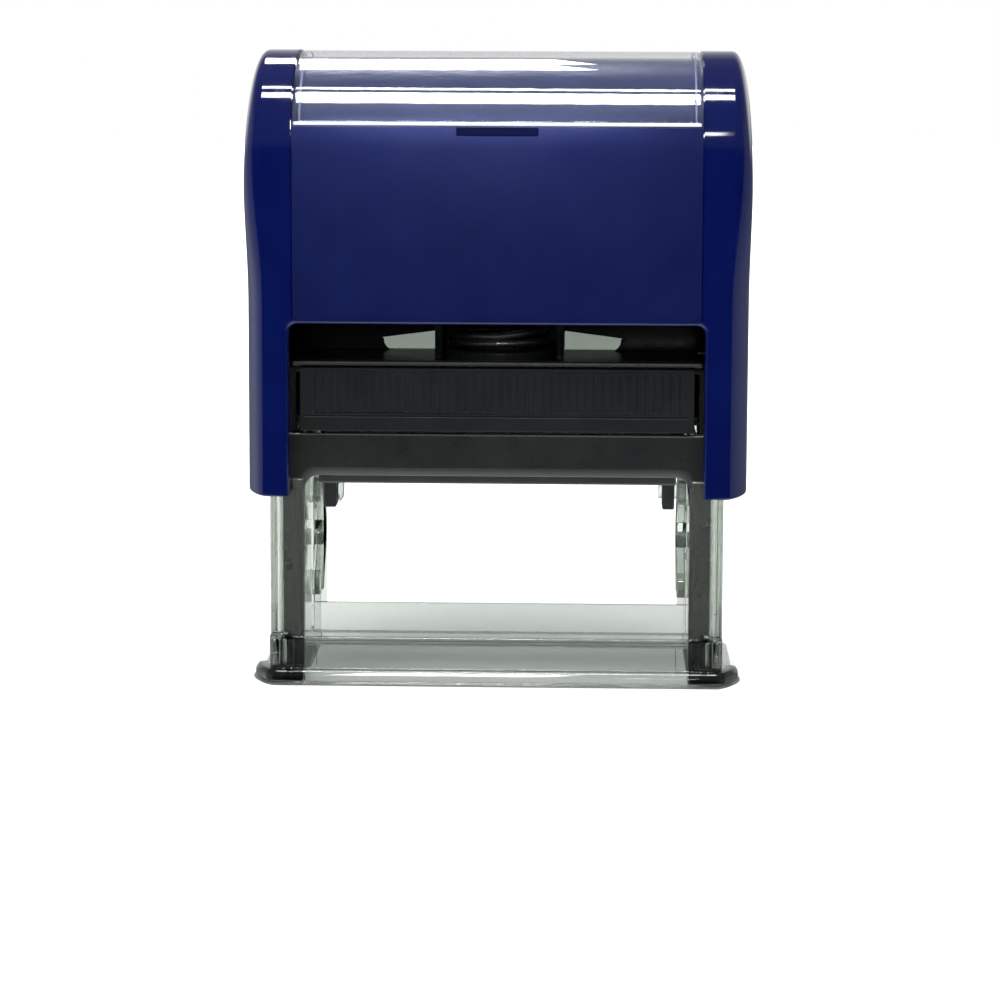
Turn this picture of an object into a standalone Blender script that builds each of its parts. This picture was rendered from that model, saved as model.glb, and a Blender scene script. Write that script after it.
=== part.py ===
"""Self-inking stamp with a flip-over die.

Pressing the cap down slides it over the clear base. Brackets inside the cap carry an axle, and the die on it
turns over half a turn as its cam pins follow curved tracks in the base, from the ink pad above to the paper below.

Frame: +Z up, +X to the right, front towards -Y, origin on the floor under the middle. Driving dimensions are in
millimetres. Every mesh is scaled to metres when it is made.
"""

import math

import bmesh
import bpy
from mathutils import Matrix, Vector

MM = 0.001
GAP = 0.3

# cap: one blue moulding with a raised arch for a roof
CAP_HALF_WIDTH = 41.75
CAP_HALF_DEPTH = 20.5
CAP_BOTTOM = 31.8
CAP_TOP = 105.1
CAP_WALL = 1.9
CAP_SIDE_INNER = 39.2
ARCH_RISE = 16.0
ARCH_POWER = 2.2
ARCH_STEPS = 16
CORNER_WIDTH = 3.35
CORNER_DEPTH = 9.0
SHOULDER_DROP = 27.0
CORNER_STEPS = 6
OPENING_HALF_WIDTH = 34.2
OPENING_TOP = 60.4
OPENING_RADIUS = 1.4

# index window on the roof of the cap
WINDOW_HALF_WIDTH = 33.2
WINDOW_BOTTOM = 92.9
WINDOW_WALL = 1.2
RELEASE_SLOT = (6.7, 91.2, 92.6)
RELEASE_SLOT_DEPTH = 1.0

# lock buttons in the sides of the cap
BUTTON_Z = 70.0
BUTTON_HALF_LENGTH = 4.5
BUTTON_RADIUS = 2.6
BUTTON_INNER = 39.5
BUTTON_OUTER = 42.0

# clear base
FOOT_HALF_WIDTH = 41.0
FOOT_HALF_DEPTH = 20.1
FOOT_HEIGHT = 2.5
FOOT_CORNER = (4.0, 7.5)
LEDGE_HALF_WIDTH = 39.8  # the foot's side between its thick front and rear bars
LEDGE_HEIGHT = 1.2
LEDGE_SPAN = (-11.0, 17.2)
SKIRT_HALF_DEPTH = 17.7
SKIRT_WALL = 1.2
SKIRT_TOP = 7.8
COLUMN_INNER = 32.1
COLUMN_OUTER = 37.7
COLUMN_BACK = 16.6
COLUMN_TOP = 41.6
COLUMN_WALL = 1.2
LEG_POCKET_OUTER = 35.9

# die assembly, about its axle
AXLE_Z = 36.6
STROKE = 28.1
AXLE_RADIUS = 1.9
BORE_RADIUS = AXLE_RADIUS + GAP
SLOT_HALF_WIDTH = 2.3
CARRIER_HALF_LENGTH = 29.9
CARRIER_HALF_DEPTH = 13.0
CARRIER_BACK = -3.4
CARRIER_FACE = 3.0
CUSHION_HEIGHT = 2.0
DIE_FACE = 8.0
DIE_HALF_LENGTH = 29.2
DIE_HALF_DEPTH = 12.0
RUBBER_BACKING = 1.1
TAB_INNER = 27.8
TAB_HALF_DEPTH = 2.6
TAB_LENGTH = 9.0
CAM_ARM = 6.0
CAM_PIN_RADIUS = 1.4
CAM_GROOVE_HALF_WIDTH = 1.75
CAM_RIM_HALF_WIDTH = 3.2
CAM_RIM_INNER = 30.4
CAM_STEPS = 20

# black frame over the base
ARCH_HALF_WIDTH = 35.6
ARCH_FRONT = -16.3
ARCH_THICKNESS = 1.4
BAR_BOTTOM = 34.8
BAR_TOP = 42.0
PLATE_BOTTOM = 52.0
PLATE_TOP = 53.2
LIP_TOP = 54.0
LEG_BOTTOM = 2.8
SIDE_PANEL_INNER = 33.4

# ink pad and its tray
TRAY_FRONT_HALF_WIDTH = 32.7
TRAY_FRONT = (-16.6, -15.2)
TRAY_FRONT_Z = (42.4, 52.9)
TRAY_HALF_WIDTH = 32.4
TRAY_BACK = 14.4
TRAY_BOTTOM = 45.1
TRAY_TOP = 51.6
TRAY_WALL = 1.1
PAD_FACE = 45.3

# return spring
SPRING_MEAN_RADIUS = 8.1
WIRE_RADIUS = 0.6
SPRING_BOTTOM = 55.0
SPRING_TOP = 98.2
SPRING_END_TURNS = 1.5
SPRING_ACTIVE_TURNS = 7
SPRING_STEPS = 16
WIRE_SIDES = 6


# ---------------------------------------------------------------- making solids

def new_object(name, bm):
    """A closed mesh object in metres from a bmesh drawn in millimetres."""
    bmesh.ops.recalc_face_normals(bm, faces=bm.faces[:])
    bmesh.ops.transform(bm, matrix=Matrix.Scale(MM, 4), verts=bm.verts[:])
    mesh = bpy.data.meshes.new(name)
    bm.to_mesh(mesh)
    bm.free()
    obj = bpy.data.objects.new(name, mesh)
    bpy.context.scene.collection.objects.link(obj)
    return obj


def loft(name, rings):
    """A solid through rings of points that all have the same count, closed by a flat face at each end."""
    bm = bmesh.new()
    rows = [[bm.verts.new(point) for point in ring] for ring in rings]
    count = len(rows[0])
    for near, far in zip(rows, rows[1:]):
        for i in range(count):
            j = (i + 1) % count
            bm.faces.new((near[i], near[j], far[j], far[i]))
    bm.faces.new(rows[0])
    bm.faces.new(rows[-1])
    return new_object(name, bm)


def along(axis, outline, level):
    """A flat outline as points in space, at one level of the axis across it."""
    if axis == "X":
        return [(level, u, v) for u, v in outline]
    if axis == "Y":
        return [(u, level, v) for u, v in outline]
    return [(u, v, level) for u, v in outline]


def prism(name, axis, outline, low, high):
    return loft(name, [along(axis, outline, low), along(axis, outline, high)])


def box(name, low, high):
    (x0, y0, z0), (x1, y1, z1) = low, high
    return prism(name, "Z", [(x0, y0), (x1, y0), (x1, y1), (x0, y1)], z0, z1)


def side_box(name, side, x, y, z):
    """A box given by its distances from the middle plane, on the left (-1) or the right (+1)."""
    x_low, x_high = sorted((side * x[0], side * x[1]))
    return box(name, (x_low, y[0], z[0]), (x_high, y[1], z[1]))


def arc(centre, radii, start, end, steps):
    """Points on an elliptical arc, with the angles in degrees."""
    angles = [math.radians(start + (end - start) * i / steps) for i in range(steps + 1)]
    return [(centre[0] + radii[0] * math.cos(a), centre[1] + radii[1] * math.sin(a)) for a in angles]


def circle(centre, radius, sides=24):
    return arc(centre, (radius, radius), 0, 360 - 360 / sides, sides - 1)


def rounded_rectangle(half_u, half_v, radii, steps=5):
    ru, rv = radii
    points = []
    for quarter, (su, sv) in enumerate(((1, 1), (-1, 1), (-1, -1), (1, -1))):
        centre = (su * (half_u - ru), sv * (half_v - rv))
        points += arc(centre, radii, 90 * quarter, 90 * quarter + 90, steps)
    return points


def rod(name, axis, centre, radius, low, high, sides=24):
    return prism(name, axis, circle(centre, radius, sides), low, high)


def side_rod(name, side, centre, radius, low, high, sides=24):
    low, high = sorted((side * low, side * high))
    return rod(name, "X", centre, radius, low, high, sides)


def combine(target, operation, others):
    for other in others:
        modifier = target.modifiers.new(operation.lower(), "BOOLEAN")
        modifier.operation = operation
        modifier.solver = "EXACT"
        modifier.object = other
        graph = bpy.context.evaluated_depsgraph_get()
        result = bpy.data.meshes.new_from_object(target.evaluated_get(graph))
        target.modifiers.clear()
        target.data = result
        result.name = target.name
        bpy.data.objects.remove(other)
    return target


def cut(target, *cutters):
    return combine(target, "DIFFERENCE", cutters)


def join(target, *others):
    return combine(target, "UNION", others)


# ---------------------------------------------------------------- placing pieces

def material(name, colour, roughness, alpha=1.0):
    made = bpy.data.materials.new(name)
    made.use_nodes = True
    shader = made.node_tree.nodes["Principled BSDF"]
    shader.inputs["Base Color"].default_value = (*colour, 1.0)
    shader.inputs["Roughness"].default_value = roughness
    shader.inputs["Metallic"].default_value = 1.0 if name == "spring steel" else 0.0
    shader.inputs["Alpha"].default_value = alpha
    return made


def axis_empty(name, location):
    """An empty that marks where a body moves: its pieces hang from it."""
    empty = bpy.data.objects.new(name, None)
    empty.location = Vector(location) * MM
    bpy.context.scene.collection.objects.link(empty)
    return empty


def finish(obj, coat, parent=None):
    """Give a piece its material, and put its origin on its body's axis."""
    obj.data.materials.clear()
    obj.data.materials.append(coat)
    obj.data.shade_smooth()
    obj.data.set_sharp_from_angle(angle=math.radians(35))
    if parent:
        obj.data.transform(Matrix.Translation(-parent.location))
        obj.parent = parent
    return obj


# ---------------------------------------------------------------- cap

def arch_profile(half_depth, top, rise, bottom, steps=ARCH_STEPS):
    """Front foot, up and over the roof to the rear foot, as (y, z) points."""
    points = [(-half_depth, bottom)]
    for i in range(steps + 1):
        angle = math.pi * i / steps
        across = math.copysign(abs(math.cos(angle)) ** (2 / ARCH_POWER), math.cos(angle))
        up = abs(math.sin(angle)) ** (2 / ARCH_POWER)
        points.append((-half_depth * across, top - rise + rise * up))
    points.append((half_depth, bottom))
    return points


def cap_outside(bottom):
    """Sections of the cap from left to right. The corners curve away in depth and in height together."""
    corner_start = CAP_HALF_WIDTH - CORNER_WIDTH
    half = [(corner_start * i / 3, 0.0) for i in range(3)]
    half += [(None, math.pi / 2 * i / CORNER_STEPS) for i in range(CORNER_STEPS + 1)]
    sections = []
    for x, turn in half:
        if x is None:
            x = corner_start + CORNER_WIDTH * math.sin(turn)
        depth = CAP_HALF_DEPTH - CORNER_DEPTH * (1 - math.cos(turn))
        top = CAP_TOP - SHOULDER_DROP * (1 - math.cos(turn))
        rise = ARCH_RISE * depth / CAP_HALF_DEPTH
        sections.append((x, arch_profile(depth, top, rise, bottom)))
    left = [(-x, profile) for x, profile in reversed(sections[1:])]
    return left + sections


def arch_bar(name, half_width, outer_offset, inner_offset, bottom):
    """A strip of the roof's arch between two offsets below the cap's skin, cut off flat at bottom."""
    rise = ARCH_RISE
    outer = arch_profile(CAP_HALF_DEPTH - outer_offset, CAP_TOP - outer_offset, rise, bottom - 5)
    inner = arch_profile(CAP_HALF_DEPTH - inner_offset, CAP_TOP - inner_offset, rise, bottom - 5)
    strip = prism(name, "X", outer + inner[::-1], -half_width, half_width)
    depth = CAP_HALF_DEPTH + 5
    return cut(strip, box("trim", (-60, -depth, bottom - 20), (60, depth, bottom)))


def stadium(centre, half_length, radius, steps=8):
    """A slot shape, long in its second coordinate."""
    u, v = centre
    reach = half_length - radius
    return arc((u, v + reach), (radius, radius), 0, 180, steps) + arc(
        (u, v - reach), (radius, radius), 180, 360, steps
    )


def make_cap():
    outside = [along("X", profile, x) for x, profile in cap_outside(CAP_BOTTOM)]
    cap = loft("cap_shell", outside)
    inner_depth = CAP_HALF_DEPTH - CAP_WALL
    roof = arch_profile(inner_depth, CAP_TOP - 2.9, ARCH_RISE - 1, CAP_BOTTOM - 10)
    end = arch_profile(inner_depth - 0.6, CAP_TOP - 9, ARCH_RISE - 3, CAP_BOTTOM - 10)
    stations = ((-CAP_SIDE_INNER, end), (-37, roof), (37, roof), (CAP_SIDE_INNER, end))
    cavity = loft("cavity", [along("X", profile, x) for x, profile in stations])
    cut(cap, cavity)

    reach = OPENING_HALF_WIDTH - OPENING_RADIUS
    top = OPENING_TOP - OPENING_RADIUS
    radii = (OPENING_RADIUS, OPENING_RADIUS)
    outline = [(-OPENING_HALF_WIDTH, CAP_BOTTOM - 5), (OPENING_HALF_WIDTH, CAP_BOTTOM - 5)]
    outline += arc((reach, top), radii, 0, 90, 4) + arc((-reach, top), radii, 90, 180, 4)
    cut(cap, prism("front_and_rear_opening", "Y", outline, -30, 30))

    cut(cap, arch_bar("window_seat", WINDOW_HALF_WIDTH + GAP, -3, WINDOW_WALL + GAP, WINDOW_BOTTOM - GAP))
    half, low, high = RELEASE_SLOT
    front = -CAP_HALF_DEPTH
    cut(cap, box("release_slot", (-half, front - 2, low), (half, front + RELEASE_SLOT_DEPTH, high)))
    for side in (-1, 1):
        outline = stadium((0, BUTTON_Z), BUTTON_HALF_LENGTH + GAP, BUTTON_RADIUS + GAP)
        low, high = sorted((side * 37.0, side * 45.0))
        cut(cap, prism("button_hole", "X", outline, low, high))
        for x in (12.0, 26.0):
            join(cap, side_box("roof_rib", side, (x, x + 1.2), (-7, 7), (100.8, 103.0)))
    return cap


def make_window():
    return arch_bar("index_window", WINDOW_HALF_WIDTH, 0.0, WINDOW_WALL, WINDOW_BOTTOM)


def make_yoke():
    """The plate under the roof that the spring pushes on, with a stub that keeps the spring straight."""
    yoke = box("spring_yoke", (-30, -7.5, 98.5), (30, 7.5, 100.4))
    stub = rod("stub", "Z", (0, 0), 6.3, 88.0, 99.0)
    rim = rod("rim", "Z", (0, 0), 10.6, 96.6, 99.0, 32)
    recess = rod("recess", "Z", (0, 0), 9.2, 90.0, 98.5, 32)
    return join(yoke, cut(rim, recess), stub)


def make_axle_bracket(name, side):
    outline = [(-5, 60), (-5, AXLE_Z)] + arc((0, AXLE_Z), (5, 3.2), 180, 360, 8)[1:-1] + [(5, AXLE_Z), (5, 60)]
    low, high = sorted((side * 38.05, side * 38.95))
    bracket = prism(name, "X", outline, low, high)
    return cut(bracket, side_rod("hole", side, (0, AXLE_Z), BORE_RADIUS, 37, 40))


def make_axle_pin(name, side):
    return side_rod(name, side, (0, AXLE_Z), AXLE_RADIUS, 24.5, 38.9)


def make_lock_button(name, side):
    """A ribbed oval button with a flange inside the cap's wall."""
    body = stadium((0, BUTTON_Z), BUTTON_HALF_LENGTH, BUTTON_RADIUS)
    low, high = sorted((side * BUTTON_INNER, side * BUTTON_OUTER))
    button = prism(name, "X", body, low, high)
    for step in (-2, 0, 2):
        groove_z = (BUTTON_Z + step - 0.35, BUTTON_Z + step + 0.35)
        cut(button, side_box("groove", side, (BUTTON_OUTER - 0.4, 44), (-4, 4), groove_z))
    return button


# ---------------------------------------------------------------- die assembly

def make_carrier():
    """The turning plate: bored for the axle at both ends, hollowed behind, with a tab for each cam pin."""
    back, face = AXLE_Z + CARRIER_BACK, AXLE_Z + CARRIER_FACE
    length, depth = CARRIER_HALF_LENGTH, CARRIER_HALF_DEPTH
    carrier = box("die_carrier", (-length, -depth, back), (length, depth, face))
    for side in (-1, 1):
        cut(carrier, side_box("pocket", side, (1.2, 21.5), (-10.5, 10.5), (back - 2, back + 3.4)))
        tab_z = (AXLE_Z - TAB_LENGTH, back + 1)
        tab_y = (-TAB_HALF_DEPTH, TAB_HALF_DEPTH)
        join(carrier, side_box("tab", side, (TAB_INNER, length), tab_y, tab_z))
        cut(carrier, side_rod("bore", side, (0, AXLE_Z), BORE_RADIUS, 24.0, length + 2))
        pin_hole = CAM_PIN_RADIUS + GAP
        cut(carrier, side_rod("pin_hole", side, (0, AXLE_Z - CAM_ARM), pin_hole, TAB_INNER - 2, length + 2, 16))
    return carrier


def make_cam_pin(name, side, headed):
    """The follower that runs in the base's curved track."""
    centre = (0, AXLE_Z - CAM_ARM)
    pin = side_rod(name, side, centre, CAM_PIN_RADIUS, TAB_INNER - 0.6, 31.9, 16)
    if headed:
        rings = []
        for x, radius in ((TAB_INNER - GAP, 2.3), (TAB_INNER - 0.7, 2.2), (TAB_INNER - 1.1, 1.5)):
            rings.append(along("X", circle(centre, radius, 16), side * x))
        join(pin, loft("head", rings))
    return pin


def make_cushion():
    low = AXLE_Z + CARRIER_FACE + GAP
    return box("die_cushion", (-29.0, -12.2, low), (29.0, 12.2, low + CUSHION_HEIGHT))


def make_rubber_die():
    """Backing sheet with raised bars and plain blocks, the generic impression."""
    face = AXLE_Z + DIE_FACE
    low = AXLE_Z + CARRIER_FACE + CUSHION_HEIGHT + 2 * GAP
    length, depth = DIE_HALF_LENGTH, DIE_HALF_DEPTH
    die = box("rubber_die", (-length, -depth, low), (length, depth, low + RUBBER_BACKING))
    root = low + RUBBER_BACKING / 2
    for y in (-10.2, 10.2):
        join(die, box("bar", (-27.6, y - 0.7, root), (27.6, y + 0.7, face)))
    for i in range(5):
        x = -22.4 + 11.2 * i
        join(die, box("block", (x - 3.9, -6.0, root), (x + 3.9, 6.0, face)))
    return die


# ---------------------------------------------------------------- base

def cam_path():
    """Where the cam pin travels in the base: the axle goes down evenly as the die turns half a turn."""
    points = []
    for i in range(CAM_STEPS + 1):
        turn = math.pi * i / CAM_STEPS
        axle = AXLE_Z - STROKE * i / CAM_STEPS
        points.append((CAM_ARM * math.sin(turn), axle - CAM_ARM * math.cos(turn)))
    return points


def stroke(path, half_width, end_steps=6):
    """The outline of a round-ended band of even width along a path. Inside a tight bend, points of the offset
    line that fall within the band are left out, so that the outline doesn't cross itself."""
    last = len(path) - 1

    def heading(i):
        a, b = path[max(i - 1, 0)], path[min(i + 1, last)]
        return math.atan2(b[1] - a[1], b[0] - a[0])

    def offset(i, angle):
        return (path[i][0] + half_width * math.cos(angle), path[i][1] + half_width * math.sin(angle))

    quarter = math.pi / 2
    outline = [offset(i, heading(i) - quarter) for i in range(last + 1)]
    outline += [offset(last, heading(last) - quarter + math.pi * k / end_steps) for k in range(1, end_steps)]
    outline += [offset(i, heading(i) + quarter) for i in range(last, -1, -1)]
    outline += [offset(0, heading(0) + quarter + math.pi * k / end_steps) for k in range(1, end_steps)]
    return [point for point in outline if min(math.dist(point, spot) for spot in path) > 0.98 * half_width]


def make_base():
    """The clear skirt: a bull-nosed foot, a low wall round the printing window, and two hollow columns."""
    levels = ((0.0, 0.5), (0.5, 0.0), (1.5, 0.0), (2.2, 0.4), (FOOT_HEIGHT, 1.2))
    rings = []
    for z, inset in levels:
        radii = (FOOT_CORNER[0] - inset, FOOT_CORNER[1] - inset)
        outline = rounded_rectangle(FOOT_HALF_WIDTH - inset, FOOT_HALF_DEPTH - inset, radii)
        rings.append(along("Z", outline, z))
    base = loft("base_skirt", rings)
    near, far = COLUMN_OUTER + 0.2, FOOT_HALF_WIDTH + 4
    ledge = [(near, LEDGE_HEIGHT), (LEDGE_HALF_WIDTH, LEDGE_HEIGHT), (LEDGE_HALF_WIDTH, -1), (far, -1), (far, 5), (near, 5)]
    for side in (-1, 1):
        cut(base, prism("ledge_cut", "Y", [(side * x, z) for x, z in ledge], *LEDGE_SPAN))
    depth = SKIRT_HALF_DEPTH
    join(base, box("skirt", (-COLUMN_OUTER, -depth, 1.0), (COLUMN_OUTER, depth, SKIRT_TOP)))
    for side in (-1, 1):
        join(base, side_box("column", side, (31.0, COLUMN_OUTER), (-16.4, COLUMN_BACK), (1.2, COLUMN_TOP)))
    inner_depth = SKIRT_HALF_DEPTH - SKIRT_WALL
    cut(base, box("window", (-COLUMN_INNER, -inner_depth, -5), (COLUMN_INNER, inner_depth, 50)))
    path = cam_path()
    for side in (-1, 1):
        hollow_x = (COLUMN_INNER + COLUMN_WALL, COLUMN_OUTER - COLUMN_WALL)
        cut(base, side_box("hollow", side, hollow_x, (-13.4, COLUMN_BACK - COLUMN_WALL), (3.0, 50)))
        cut(base, side_box("leg_pocket", side, (30.0, LEG_POCKET_OUTER), (-16.6, -14.6), (FOOT_HEIGHT, 50)))
        rim_x = sorted((side * CAM_RIM_INNER, side * (COLUMN_INNER + 0.5)))
        join(base, prism("cam_rim", "X", stroke(path, CAM_RIM_HALF_WIDTH), *rim_x))
        groove_x = sorted((side * (CAM_RIM_INNER - 1), side * (COLUMN_INNER + 0.1)))
        cut(base, prism("cam_groove", "X", stroke(path, CAM_GROOVE_HALF_WIDTH), *groove_x))
        slot_z = (AXLE_Z - STROKE - SLOT_HALF_WIDTH - GAP, AXLE_Z + SLOT_HALF_WIDTH + GAP)
        slot_y = (-SLOT_HALF_WIDTH, SLOT_HALF_WIDTH)
        cut(base, side_box("axle_slot", side, (28.0, 40.0), slot_y, slot_z))
    return base


def make_front_arch():
    """The black bar under the ink pad with a leg at each end that plugs into the base."""
    outer, inner = ARCH_HALF_WIDTH, COLUMN_INNER
    post, corner = 34.4, 2.5
    radii = (corner, corner)
    outline = [(outer, LEG_BOTTOM), (outer, LIP_TOP), (post, LIP_TOP), (post, BAR_TOP)]
    outline += [(-x, z) for x, z in reversed(outline)]
    crown = BAR_BOTTOM - corner
    outline += [(-inner, LEG_BOTTOM)]
    outline += arc((-inner + corner, crown), radii, 180, 90, 5)
    outline += arc((inner - corner, crown), radii, 90, 0, 5)
    outline += [(inner, LEG_BOTTOM)]
    return prism("front_arch", "Y", outline, ARCH_FRONT, ARCH_FRONT + ARCH_THICKNESS)


def make_pad_housing():
    """The black chamber that the ink pad's tray slides into: roof, sides, rails and a rear panel."""
    width = ARCH_HALF_WIDTH
    front, back = ARCH_FRONT + ARCH_THICKNESS + GAP, -ARCH_FRONT
    roof = [(front, PLATE_BOTTOM), (back, PLATE_BOTTOM), (back, PLATE_TOP), (-13.4, PLATE_TOP)]
    roof += [(-13.4, LIP_TOP), (ARCH_FRONT, LIP_TOP), (ARCH_FRONT, PLATE_TOP), (front, PLATE_TOP)]
    housing = prism("pad_housing", "X", roof, -34.1, 34.1)
    column_clear = COLUMN_TOP + GAP
    rear = [(-31.7, BAR_BOTTOM), (31.7, BAR_BOTTOM), (31.7, column_clear), (width, column_clear)]
    rear += [(width, 52.6), (-width, 52.6), (-width, column_clear), (-31.7, column_clear)]
    join(housing, prism("rear_panel", "Y", rear, back - ARCH_THICKNESS, back))
    for side in (-1, 1):
        panel_x = (SIDE_PANEL_INNER, width)
        join(housing, side_box("side_panel", side, panel_x, (front, back - 0.4), (column_clear, 52.8)))
        join(housing, side_box("rail", side, (31.3, 34.0), (front + 0.2, back - 0.8), (43.4, 44.8)))
    cut(housing, box("push_out_hole", (-12, 10, 43.6), (12, 20, 50.6)))
    seat = rod("spring_seat", "Z", (0, 0), 9.3, 52.6, SPRING_BOTTOM - 0.1, 32)
    spigot = rod("spigot", "Z", (0, 0), 6.0, 53.0, 57.5)
    return join(housing, seat, spigot)


def make_spring_tower():
    """Three walls round the spring, tied to a cross wall with two sight gaps along its foot."""
    low = PLATE_TOP + GAP
    tower = box("spring_tower", (-10.9, -4.0, low), (10.9, 14.3, 68.0))
    cut(tower, box("shaft", (-9.7, -6.0, low - 2), (9.7, 9.8, 70.0)))
    cut(tower, box("rear_relief", (-9.7, 11.1, low - 2), (9.7, 16.0, 70.0)))
    wall = box("cross_wall", (-35.6, 13.0, low), (35.6, 14.3, 60.5))
    for side in (-1, 1):
        gap = [(10.0, 52.0), (18.9, 52.0), (20.9, 54.0), (21.9, 55.2), (10.0, 56.7)]
        cut(wall, prism("sight_gap", "Y", [(side * x, z) for x, z in gap], 10, 18))
    cut(wall, box("middle", (-9.7, 10, 50), (9.7, 18, 62)))
    return join(tower, wall)


def make_spring():
    """Coil spring with closed ends: slow turns at both ends, even turns between."""
    turns = SPRING_ACTIVE_TURNS + 2 * SPRING_END_TURNS
    low, high = SPRING_BOTTOM + WIRE_RADIUS, SPRING_TOP - WIRE_RADIUS
    end_pitch = 2.1 * WIRE_RADIUS
    end_rise = SPRING_END_TURNS * end_pitch
    active_pitch = (high - low - 2 * end_rise) / SPRING_ACTIVE_TURNS

    def height(turn):
        if turn < SPRING_END_TURNS:
            return low + turn * end_pitch
        if turn > turns - SPRING_END_TURNS:
            return high - (turns - turn) * end_pitch
        return low + end_rise + (turn - SPRING_END_TURNS) * active_pitch

    rings = []
    count = int(turns * SPRING_STEPS)
    for i in range(count + 1):
        turn = turns * i / count
        angle = 2 * math.pi * turn
        outward = Vector((math.cos(angle), math.sin(angle), 0.0))
        centre = SPRING_MEAN_RADIUS * outward + Vector((0, 0, height(turn)))
        ring = []
        for k in range(WIRE_SIDES):
            around = 2 * math.pi * k / WIRE_SIDES
            lift = Vector((0, 0, WIRE_RADIUS * math.sin(around)))
            ring.append(centre + WIRE_RADIUS * math.cos(around) * outward + lift)
        rings.append(ring)
    return loft("return_spring", rings)


# ---------------------------------------------------------------- ink pad

def make_tray():
    """The cassette: a front plate to pull by, ribbed for grip, and a shallow box open underneath."""
    front_low, front_high = TRAY_FRONT
    width = TRAY_FRONT_HALF_WIDTH
    tray = box("pad_tray", (-width, front_low, TRAY_FRONT_Z[0]), (width, front_high, TRAY_FRONT_Z[1]))
    half, wall = TRAY_HALF_WIDTH, TRAY_WALL
    cassette = box("cassette", (-half, front_high - 0.4, TRAY_BOTTOM), (half, TRAY_BACK, TRAY_TOP))
    room_low = (-half + wall, front_high + wall, TRAY_BOTTOM - 2)
    cut(cassette, box("room", room_low, (half - wall, TRAY_BACK - wall, TRAY_TOP - wall)))
    join(tray, cassette)
    ribs = 44
    pitch = 2 * (width - 1.5) / ribs
    for i in range(ribs):
        x = -width + 1.5 + pitch * (i + 0.5)
        cut(tray, box("groove", (x - 0.3, front_low - 1, 45.6), (x + 0.3, front_low + 0.3, 52.2)))
    return tray


def make_ink_pad():
    half = TRAY_HALF_WIDTH - TRAY_WALL - GAP
    depth = 13.0
    return box("ink_pad", (-half, -depth, PAD_FACE), (half, depth, TRAY_TOP - TRAY_WALL - GAP))


# ---------------------------------------------------------------- the whole stamp

def main():
    for obj in list(bpy.data.objects):
        bpy.data.objects.remove(obj)

    blue = material("blue plastic", (0.007, 0.018, 0.13), 0.25)
    black = material("black plastic", (0.015, 0.017, 0.018), 0.4)
    clear = material("smoked clear plastic", (0.75, 0.78, 0.75), 0.08, 0.35)
    rubber = material("die rubber", (0.10, 0.10, 0.11), 0.8)
    foam = material("foam", (0.75, 0.75, 0.72), 0.9)
    felt = material("inked felt", (0.01, 0.03, 0.25), 0.95)
    steel = material("spring steel", (0.35, 0.36, 0.37), 0.35)

    cap = axis_empty("cap_press_axis", (0, 0, CAP_BOTTOM))
    window = axis_empty("window_lift_axis", (0, 0, WINDOW_BOTTOM))
    die = axis_empty("die_flip_axis", (0, 0, AXLE_Z))
    pad = axis_empty("pad_slide_axis", (0, 0, TRAY_BOTTOM))

    finish(make_base(), clear)
    finish(make_front_arch(), black)
    finish(make_pad_housing(), black)
    finish(make_spring_tower(), black)
    finish(make_spring(), steel)
    finish(make_cap(), blue, cap)
    finish(make_yoke(), black, cap)
    finish(make_window(), clear, window)
    finish(make_tray(), black, pad)
    finish(make_ink_pad(), felt, pad)
    finish(make_carrier(), black, die)
    finish(make_cushion(), foam, die)
    finish(make_rubber_die(), rubber, die)
    for name, side in (("left", -1), ("right", 1)):
        button = axis_empty(name + "_lock_axis", (side * BUTTON_OUTER, 0, BUTTON_Z))
        finish(make_lock_button(name + "_lock_button", side), blue, button)
        finish(make_axle_bracket(name + "_axle_bracket", side), black, cap)
        finish(make_axle_pin(name + "_axle_pin", side), steel, cap)
        finish(make_cam_pin(name + "_cam_pin", side, side < 0), clear, die)


main()
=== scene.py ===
"""Looks of the self-inking stamp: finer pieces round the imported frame, procedural materials, studio and camera.

Drawn in millimetres in the frame of the CAD: +Z up, front towards -Y, floor at 0.
"""

import math

import bmesh
import bpy
from mathutils import Matrix, Vector


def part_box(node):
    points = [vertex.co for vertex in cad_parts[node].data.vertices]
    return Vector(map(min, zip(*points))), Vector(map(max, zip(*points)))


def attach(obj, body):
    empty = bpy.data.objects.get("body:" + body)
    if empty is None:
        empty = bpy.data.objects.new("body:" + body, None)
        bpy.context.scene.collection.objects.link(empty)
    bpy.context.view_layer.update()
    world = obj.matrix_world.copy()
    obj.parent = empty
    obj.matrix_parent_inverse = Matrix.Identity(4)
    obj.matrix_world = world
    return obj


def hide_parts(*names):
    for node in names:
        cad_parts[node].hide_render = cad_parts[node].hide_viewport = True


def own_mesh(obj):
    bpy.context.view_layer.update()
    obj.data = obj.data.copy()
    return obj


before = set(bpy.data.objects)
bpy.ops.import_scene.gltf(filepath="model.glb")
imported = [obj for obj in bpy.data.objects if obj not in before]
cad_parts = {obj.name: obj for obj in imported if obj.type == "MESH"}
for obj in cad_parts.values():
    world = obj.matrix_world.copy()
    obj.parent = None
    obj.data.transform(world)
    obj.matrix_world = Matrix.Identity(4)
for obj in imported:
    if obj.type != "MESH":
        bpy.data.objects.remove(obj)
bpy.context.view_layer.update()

MM = 0.001
BEVEL_SHARE = 0.46  # how much of a neighbouring edge a bevel may take
LEAST_BEVEL = 0.2  # the least share of its width that a bevel keeps
SIDES = (-1, 1)


def span(node):
    """Lowest and highest corner of a CAD node, in millimetres."""
    low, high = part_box(node)
    return Vector(low) / MM, Vector(high) / MM


# ---- mesh tools

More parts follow.
